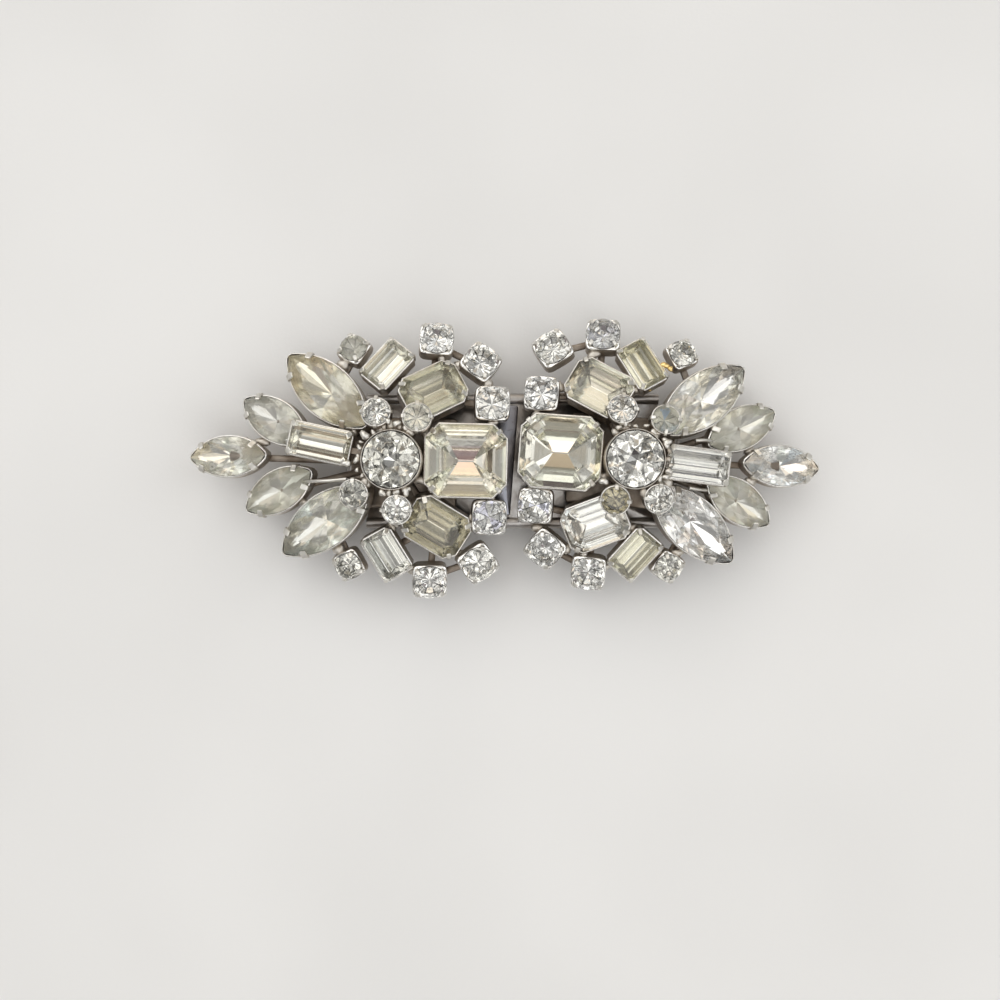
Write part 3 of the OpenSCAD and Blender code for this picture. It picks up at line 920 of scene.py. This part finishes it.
def make_cup(metal, seat):
    """A stone's cup: inner wall, rolled rim, outer wall and foot."""
    low = -seat.depth - CUP_FOOT
    inside = low + CUP_FLOOR
    if seat.kind == "square":
        square_cup(metal, seat, inside, low)
        return
    # How far out from the stone's edge, height, age
    if seat.kind == "bezel":
        profile = [
            (0.04, inside, 1.0),
            (0.04, -0.02, 1.0),
            (0.08, 0.10, 1.0),
            (0.12, 0.17, 0.7),
            (0.17, 0.17, 0.45),
            (0.23, 0.08, 0.6),
            (0.27, -0.1, 0.85),
            (0.28, -1.2, 1.0),
            (0.24, low + 0.3, 1.0),
            (0.10, low, 1.0),
        ]
    else:
        wall = 0.22 if seat.kind == "round" else 0.26
        profile = [
            (0.02, inside, 1.0),
            (0.012, -0.06, 0.6),
            (0.03, 0.01, 0.5),
            (0.07, 0.03, 0.35),
            (0.12, 0.02, 0.3),
            (wall - 0.05, -0.06, 0.4),
            (wall - 0.02, -0.18, 0.6),
            (wall, low * 0.45, 0.85),
            (wall - 0.04, low + 0.3, 1.0),
            (wall - 0.10, low + 0.06, 1.0),
            (0.08, low, 1.0),
        ]
    rings = []
    for out, z, _ in profile:
        ring = []
        for x, y, t in seat.outline():
            out_x, out_y = on_circle(out, t)
            ring.append(seat.at(x + out_x, y + out_y, z))
        rings.append(ring)
    metal.skin(rings, [level[2] for level in profile])


# How wide the claws of a stone are, and how far they reach over it
CLAWS = {
    "large_marquise": (0.8, 0.7),
    "small_marquise": (0.7, 0.6),
    "tip_marquise": (0.7, 0.6),
    "large_octagon": (0.6, 0.55),
    "medium_octagon": (0.62, 0.55),
    "long_baguette": (0.55, 0.45),
    "short_baguette": (0.5, 0.4),
    "accents": (0.46, 0.34),
}


def make_claws(metal, seat, chance):
    """Claws bent over the stone's edge: a leg, a bend and a rounded finger."""
    if seat.kind == "bezel":
        return
    width, reach = CLAWS.get(seat.piece, (0.5, 0.36))
    # The fingers lie a little steeper than the slope from the edge to the table
    table = 0.58 if seat.kind == "octagon" else 0.56
    slope = math.atan((seat.crown - GIRDLE) / ((1 - table) * seat.b)) + math.radians(6)
    wall, thick = (0.22, 0.22) if seat.kind in ("square", "round") else (0.26, 0.25)
    for x, y, turn in seat.claws():
        way = seat.along(turn)
        edge = seat.at(x, y, 0)
        wide = width * chance.uniform(0.88, 1.12)
        long = reach * chance.uniform(0.88, 1.05)
        # Way out from the stone's edge, height, share of the width, thickness, age
        stations = [
            (wall + 0.02, -min(1.0, 0.6 * seat.depth), 0.9, 0.16, 0.9),
            (wall + 0.04, -0.35, 0.95, 0.2, 0.5),
            (wall + 0.03, 0.08, 1.0, 0.24, 0.15),
            (wall - 0.1, 0.3, 1.0, 0.26, 0.0),
        ]
        # The finger follows the crown and thins towards its end
        for inward, broad, heavy in (
            (0.05, 1.0, 1.0),
            (0.45, 1.0, 0.95),
            (0.85, 0.94, 0.8),
            (1.0, 0.72, 0.5),
        ):
            under = GIRDLE + 0.07 / math.cos(slope) + inward * long * math.tan(slope)
            height = under + thick * heavy / 2 / math.cos(slope)
            stations.append((-inward * long, height, broad, thick * heavy, 0.0))
        path = [edge + way * out + seat.up * z for out, z, _, _, _ in stations]
        widths = [wide * broad for _, _, broad, _, _ in stations]
        thicknesses, ages = [s[3] for s in stations], [s[4] for s in stations]
        metal.strip(path, widths, thicknesses, seat.up.cross(way), ages)


# Cups that a rib joins, above and below the middle of a clip
RIBS = [
    ("centre_round", "tip_marquise"),
    ("centre_round", "small_marquise"),
    ("centre_round", "large_marquise"),
    ("centre_round", "medium_octagon"),
    ("centre_round", "large_octagon"),
    ("large_marquise", "small_round"),
    ("medium_octagon", "short_baguette"),
    ("medium_octagon", "outer_round"),
    ("medium_octagon", "inner_round"),
    ("outer_round", "shoulder_round"),
]


# Heights over the table: the foot of the posts, the ribs, the bars to the raised stones
POST_FOOT = 5.5
RIB_HEIGHT = 5.66
BAR_HEIGHT = 10.85


def foot_of(seat):
    """A place a little above the foot of a stone's cup."""
    return seat.at(0, 0, -seat.depth - 0.3)


def seat_in(seats, clip, row, piece):
    """The seat of a piece in a row of a clip, or in the clip's middle."""
    for seat in seats:
        in_row = row == "" or f"_{row}_" in seat.node
        if seat.clip == clip and seat.piece == piece and in_row:
            return seat
    return next(s for s in seats if s.clip == clip and s.piece == piece)


def plate_ring(middle, turn, half_length, half_width, grow, z):
    """Points round a plate with rounded corners, at one height."""
    along, across = axes(turn)
    ring = []
    for way_x, way_y, start in ((1, 1, 45), (-1, 1, 135), (-1, -1, 225), (1, -1, 315)):
        for step in range(-3, 4):
            out_x, out_y = on_circle(grow, start + 15 * step)
            x, y = way_x * half_length + out_x, way_y * half_width + out_y
            ring.append(middle + along * x + across * y + Vector((0, 0, z)))
    return ring


def make_gallery(metal, seats, clip):
    """The back plate, and the ribs and posts that carry the cups."""
    hub = foot_of(seat_in(seats, clip, "", "centre_round"))
    turn = CLIP_TURNS[clip]
    along, _ = axes(turn)
    middle = Vector((hub.x, hub.y, 0)) + along * (1 if clip == "left" else -1)
    levels = ((0.42, 4.9), (0.6, 5.05), (0.6, 5.55), (0.42, 5.7))
    rings = [plate_ring(middle, turn, 6.4, 5.4, grow, z) for grow, z in levels]
    metal.skin(rings, [0.5, 0.4, 0.6, 0.8])
    metal.wire([Vector((hub.x, hub.y, z)) for z in (5.6, hub.z / 2 + 2.8, hub.z)], 2.0, 0.9, 24)
    for first, second in RIBS:
        reached = None
        for row in ("upper", "lower"):
            seat = seat_in(seats, clip, row, second)
            if seat is reached:
                continue
            reached = seat
            ends = foot_of(seat_in(seats, clip, row, first)), foot_of(seat)
            start, end = (Vector((p.x, p.y, RIB_HEIGHT)) for p in ends)
            metal.bar(start, end, 0.9, 0.5, 0.8, 6)
    for seat in seats:
        foot = foot_of(seat)
        if seat.clip == clip and seat.kind != "round" and foot.z > 6.15:
            # Up from the plate, then along the stone's own axis, to just below the cup's floor
            path = [Vector((foot.x, foot.y, z)) for z in (POST_FOOT, (foot.z + 4.6) / 2)]
            path += [foot - seat.up * 0.7, foot - seat.up * 0.12]
            metal.wire(path, 0.8, 0.9, 14)
    for seat in seats:
        if seat.clip == clip and seat.piece in ("accents", "long_baguette"):
            start = Vector((hub.x, hub.y, BAR_HEIGHT))
            end = Vector((seat.middle.x, seat.middle.y, BAR_HEIGHT))
            way = (end - start).normalized()
            metal.bar(start + way * 3.8, end - way * (seat.a - 0.05), 0.9, 0.7, 0.8, 4)


# Single beads of solder in front: clip, place and size
BEADS = [
    ("left", -17.6, 2.5, 12.6, 0.62),
    ("left", -20.0, -1.0, 12.0, 0.6),
    ("left", -13.6, 4.0, 12.5, 0.5),
    ("left", -14.7, 4.3, 12.4, 0.42),
    ("right", 12.4, -3.3, 12.6, 0.55),
    ("right", 20.4, 1.6, 12.2, 0.55),
    ("right", 19.4, -2.9, 12.2, 0.5),
]
# Arcs of small solder lumps round the centre stones: clip, from, to in degrees, how many
LUMPS = [
    ("left", 58, 218, 15),
    ("left", 258, 304, 5),
    ("right", -74, 72, 14),
    ("right", 92, 132, 5),
]
# Lumps of solder coloured gold as a painted yellow reflection, by the right upper short baguette:
# way from its middle, and size
GOLD_GLINT_LUMPS = [(2.9, -0.15, 0.62), (3.65, -0.6, 0.42), (0.1, -3.35, 0.46), (0.75, -3.3, 0.38)]
# Ends of wire that lie loose between the stones
LOOSE_WIRES = [
    ("left", [(-26.0, -3.2, 8.2), (-24.4, -3.15, 9.6), (-22.4, -3.1, 10.2), (-20.2, -2.9, 10.4)]),
    ("right", [(26.8, 2.1, 8.6), (25.6, 2.1, 9.6), (24.4, 2.0, 10.0)]),
    ("right", [(26.2, -4.3, 8.4), (24.9, -4.2, 9.4), (23.6, -4.0, 9.8)]),
]


def closest(first, second):
    """Where two stones come closest, seen from above: the gap and a point on each edge."""
    ring = second.edge()
    pairs = [(math.hypot(p.x - q.x, p.y - q.y), p, q) for p in first.edge() for q in ring]
    return min(pairs, key=lambda pair: pair[0])


def make_solder(metal, seats, clip, chance):
    """Solder where neighbouring cups meet, and the lumps and wires that show in front."""
    own = [s for s in seats if s.clip == clip]
    for k, first in enumerate(own):
        for second in own[k + 1 :]:
            gap, p, q = closest(first, second)
            if gap > 1.5 or abs(p.z - q.z) > 2.6:
                continue
            spot = (p + q) / 2
            spot.z = min(p.z, q.z) - chance.uniform(0.8, 1.4)
            size = 0.22 + gap * 0.42
            across = chance.uniform(0.8, 1.3)
            metal.blob(spot, (size * across, size / across, 0.55), chance.uniform(0, 6), 0.55)
    for side, x, y, z, size in BEADS:
        if side == clip:
            sizes = (size, size * 0.9, size * 0.7)
            metal.blob(Vector((x, y, z)), sizes, chance.uniform(0, 6), 0.0)
    centre = seat_in(seats, clip, "", "centre_round")
    for side, start, end, count in LUMPS:
        if side != clip:
            continue
        for k in range(count):
            t = start + (end - start) * (k + chance.uniform(-0.3, 0.3)) / (count - 1)
            out = centre.a + chance.uniform(0.5, 1.0)
            lift = Vector((0, 0, chance.uniform(-0.9, -0.25)))
            spot = centre.middle + centre.along(t) * out + lift
            size = chance.uniform(0.26, 0.58)
            sizes = (size, size * chance.uniform(0.55, 1.3), size * 0.7)
            seed = chance.uniform(0, 6)
            metal.blob(spot, sizes, seed, chance.uniform(0.1, 0.7))
    for side, points in LOOSE_WIRES:
        if side == clip:
            metal.wire([Vector(p) for p in points], 0.24, 0.2)


def make_gold_glint_lumps(metal, seats):
    # Gold-coloured lumps of solder that paint a yellow reflection
    stone = seat_in(seats, "right", "upper", "short_baguette")
    for x, y, size in GOLD_GLINT_LUMPS:
        spot = stone.middle + Vector((x, y, -0.2))
        metal.blob(spot, (size, size * 0.75, size * 0.7), 3 * x, 0.2)


FRAME_MIDDLE = Vector((1.06, -0.26, 0))
FRAME_LENGTH = 38.8
FRAME_WIDTH = 16.6
BAR_WIDTH = 2.7
# From the middle of the frame to the pin's two feet
PIN_REACH = 16.6
# Between the middles of the two levers, and from the middle of each to its hinge
LEVER_SPACING = 30.7
HINGE_REACH = 5.9


def slab(metal, middle, turn, length, width, low, high, corner, ages=(0.4, 0.4, 0.4, 0.4)):
    """A flat plate or block with rounded corners and eased edges."""
    ease = min(0.16, (high - low) * 0.3, corner * 0.8)
    x, y = length / 2 - corner, width / 2 - corner
    inner = corner - ease
    levels = ((inner, low), (corner, low + ease), (corner, high - ease), (inner, high))
    metal.skin([plate_ring(middle, turn, x, y, grow, z) for grow, z in levels], ages)


def make_frame():
    """The plate with its two rolled rails."""
    metal = Metalwork()
    slab(metal, FRAME_MIDDLE, 0, FRAME_LENGTH, FRAME_WIDTH, 3.8, 4.8, 0.5)
    for side in (1, -1):
        start = FRAME_MIDDLE + Vector((-FRAME_LENGTH / 2, side * 8.25, 4.55))
        places = (0, 0.12, 13, 26, FRAME_LENGTH - 0.12, FRAME_LENGTH)
        metal.wire([start + Vector((x, 0, 0)) for x in places], 0.75, 0.5, 24)
    return metal


def make_bar():
    """The raised bar between the clips, which lies askew as the right clip does."""
    metal = Metalwork()
    turn = CLIP_TURNS["right"]
    along, _ = axes(turn)
    middle = FRAME_MIDDLE + along * (0.2 - BAR_WIDTH / 2)
    slab(metal, middle, turn, BAR_WIDTH, 14.6, 4.7, 5.3, 0.3, (0.5, 0.5, 0.1, 0.1))
    return metal


def make_pin():
    """The plain pin behind, with its hinge foot and its catch foot."""
    metal = Metalwork()
    for side in (1, -1):
        foot = FRAME_MIDDLE + Vector((side * PIN_REACH, 0, 0))
        slab(metal, foot, 0, 3.2, 8, 0, 1.6, 0.5)
        slab(metal, foot, 0, 2.6, 4.4, 1.5, 3.7, 0.4)
    places = (-PIN_REACH, -8, 0, 8, PIN_REACH)
    metal.wire([FRAME_MIDDLE + Vector((x, 0, 0.8)) for x in places], 0.55, 0.2, 20)
    return metal


def make_lever(clip):
    """The fold-over lever: a hinge barrel and two fingers reaching back under the frame."""
    metal = Metalwork()
    turn = CLIP_TURNS[clip]
    along, across = axes(turn)
    way, rise = (-1, 0.1) if clip == "left" else (1, 0.3)
    middle = FRAME_MIDDLE + Vector((way * LEVER_SPACING / 2, rise, 0))
    barrel = middle + along * (way * HINGE_REACH) + Vector((0, 0, 3.8))
    metal.wire([barrel + across * y for y in (-5.5, -5.4, 0, 5.4, 5.5)], 1.0, 0.4, 24)
    finger_length = 12
    for side in (1, -1):
        finger = middle + along * (way * (HINGE_REACH - finger_length / 2)) + across * (side * 4.35)
        slab(metal, finger, turn, finger_length, 2.3, 2.7, 3.5, 0.4)
    return metal


# ---------------------------------------------------------------- stage


CAMERA_AIM = Vector((-0.615, -5.544, 8.0))
CAMERA_DISTANCE = 129.87
# How high the camera stands over the table, in degrees
CAMERA_HEIGHT = 89


def make_camera():
    aim = CAMERA_AIM * MM
    tilt = math.radians(CAMERA_HEIGHT)
    away = Vector((0, -math.cos(tilt), math.sin(tilt)))
    data = bpy.data.cameras.new("camera")
    data.lens = 36
    data.sensor_width = 36
    data.clip_start = 0.005
    camera = bpy.data.objects.new("camera", data)
    camera.location = aim + away * CAMERA_DISTANCE * MM
    camera.rotation_mode = "QUATERNION"
    camera.rotation_quaternion = (-away).to_track_quat("-Z", "Y")
    SCENE.collection.objects.link(camera)
    SCENE.camera = camera


def make_floor():
    material, f = finish_named("pale_floor")
    weave = f.noise(0.5, 4.0)
    cloud = f.noise(60.0, 2.0)
    f.surface(
        base_color=f.mix(f.span(cloud, 0.3, 0.7), (0.74, 0.735, 0.725), (0.79, 0.785, 0.775)),
        roughness=f.span(weave, 0.3, 0.7, 0.62, 0.75),
        normal=f.bump(weave, 0.05, 0.35),
    )
    mesh = bmesh.new()
    bmesh.ops.create_grid(mesh, x_segments=8, y_segments=8, size=1.4)
    data = bpy.data.meshes.new("floor")
    mesh.to_mesh(data)
    mesh.free()
    data.materials.append(material)
    floor = bpy.data.objects.new("floor", data)
    SCENE.collection.objects.link(floor)


# Soft round windows in the light: way round, height and half width in degrees, glow, colour.
# The foils mirror them, and the narrow ones light the facets of single stones.
WINDOWS = [
    (128, 50, 29, 1.8, (1.0, 0.99, 0.97)),
    (-66, 49, 19, 1.8, (1.0, 0.99, 0.97)),
    (15, 40, 19, 1.7, (0.98, 0.99, 1.0)),
    (44, 70, 10, 1.4, (1.0, 0.98, 0.94)),
    (-20, 74, 8, 1.2, (1.0, 1.0, 0.98)),
    (-160, 46, 14, 1.6, (1.0, 1.0, 1.0)),
    (-35, 30, 11, 1.3, (1.0, 1.0, 1.0)),
    (88, 23, 14, 1.5, (1.0, 0.89, 0.75)),
    (86, 61, 8, 1.45, (1.0, 0.88, 0.75)),
    (92, 80, 6, 0.55, (1.0, 0.89, 0.75)),
    (-89, 55.5, 5.5, 0.25, (1.0, 0.74, 0.80)),
    (-104, 66, 7, 1.8, (1.0, 1.0, 0.99)),
    (-100, 79, 8, 2.3, (1.0, 1.0, 1.0)),
    (-91, 26, 13, 0.14, (1.0, 0.84, 0.88)),
]
# Where a window's soft edge begins and ends, as shares of its half width
WINDOW_SOFT = (0.7, 1.3)
# The room's own light low down, high up and straight overhead
ROOM_LOW = 0.25
ROOM_HIGH = 0.34
OVERHEAD = 0.50


def make_light():
    world = bpy.data.worlds.new("soft_room")
    world.use_nodes = True
    SCENE.world = world
    SCENE.view_settings.view_transform = "Standard"
    f = Finish(world.node_tree)
    way = f.node("TexCoord", out=0)
    high = f.node("SeparateXYZ", values={0: way}, out=2)
    room = f.span(high, -0.1, 0.7, ROOM_LOW, ROOM_HIGH)
    room = room - f.span(high, 0.965, 0.99, 0.0, ROOM_HIGH - OVERHEAD)
    light = f.mix(room, (0.0, 0.0, 0.0), (1.0, 0.99, 0.97))
    for around, height, half, glow, colour in WINDOWS:
        a, e, r = (math.radians(v) for v in (around, height, half))
        aim = (math.cos(a) * math.cos(e), math.sin(a) * math.cos(e), math.sin(e))
        near = f.node("VectorMath", {"operation": "DOT_PRODUCT"}, {0: way, 1: aim}, out=1)
        starts, ends = WINDOW_SOFT
        share = f.span(near, math.cos(r * ends), math.cos(r * starts))
        light = f.mix(share, light, tuple(c * glow for c in colour))
    sky = f.node("Background", values={"Color": light, "Strength": 1.0})
    f.node("OutputWorld", values={"Surface": sky})


# ---------------------------------------------------------------- making

make_camera()
make_floor()
make_light()

clear_glass = crown_finish()
backing_foil = foil_finish()
bright_silver = silver_finish("bright_silver", (0.90, 0.89, 0.86), (0.36, 0.29, 0.22), 0.16, 0.6)
claw_silver = silver_finish("claw_silver", (0.76, 0.74, 0.69), (0.40, 0.34, 0.27), 0.3, 0.8)
# Silver for the gallery under the stones: aged, and darkened further with painted shade
aged_silver_painted_shade = silver_finish("aged_silver_painted_shade", (0.46, 0.42, 0.37), (0.15, 0.115, 0.085), 0.25, 0.8)
# Grey nickel for the frame and levers, darkened with painted shade
grey_nickel_painted_shade = silver_finish("grey_nickel_painted_shade", (0.44, 0.43, 0.42), (0.20, 0.16, 0.125), 0.22, 1.0)
satin_steel = silver_finish("satin_steel", (0.36, 0.37, 0.42), (0.20, 0.17, 0.15), 0.3, 0.9)
# Gold colour that paints a yellow reflection on the lumps by the right upper short baguette
gold_painted_glint = silver_finish("gold_painted_glint", (0.92, 0.68, 0.30), (0.46, 0.27, 0.10), 0.25, 0.7)
pin_nickel = silver_finish("pin_nickel", (0.70, 0.68, 0.64), (0.36, 0.30, 0.22), 0.2, 0.8)

chance = random.Random(7)
all_seats = []
for node_name in solids:
    if piece_of(node_name) in KINDS:
        seats = [Seat(node_name, solid, k) for k, solid in enumerate(loose_solids(node_name))]
        all_seats += seats
        cut_stones(node_name, seats, clear_glass, backing_foil, chance)

for side in ("left", "right"):
    cups, claws, gallery, solder = (Metalwork() for _ in range(4))
    for seat in all_seats:
        if seat.clip == side:
            make_cup(cups, seat)
            make_claws(claws, seat, chance)
    make_gallery(gallery, all_seats, side)
    make_solder(solder, all_seats, side, chance)
    for kind, metal, finish, crease in (
        ("cups", cups, bright_silver, 55),
        ("claws", claws, claw_silver, 24),
        ("gallery", gallery, aged_silver_painted_shade, 55),
        ("solder", solder, claw_silver, 55),
    ):
        metal.piece(side + "_" + kind, "setting_metal", [side + "_setting"], finish, crease)
    make_lever(side).piece(side + "_clip_lever", "frame_metal", [side + "_lever"], grey_nickel_painted_shade)

# Lumps of solder coloured gold as a painted yellow reflection
gold_glint_lumps = Metalwork()
make_gold_glint_lumps(gold_glint_lumps, all_seats)
gold_glint_lumps.piece("right_gold_glint_lumps", "setting_metal", ["right_setting"], gold_painted_glint)

make_frame().piece("frame_plate", "frame_metal", ["brooch_frame"], grey_nickel_painted_shade)
make_bar().piece("frame_bar", "frame_metal", ["brooch_frame"], satin_steel)
make_pin().piece("back_pin", "pin_metal", ["pin"], pin_nickel)
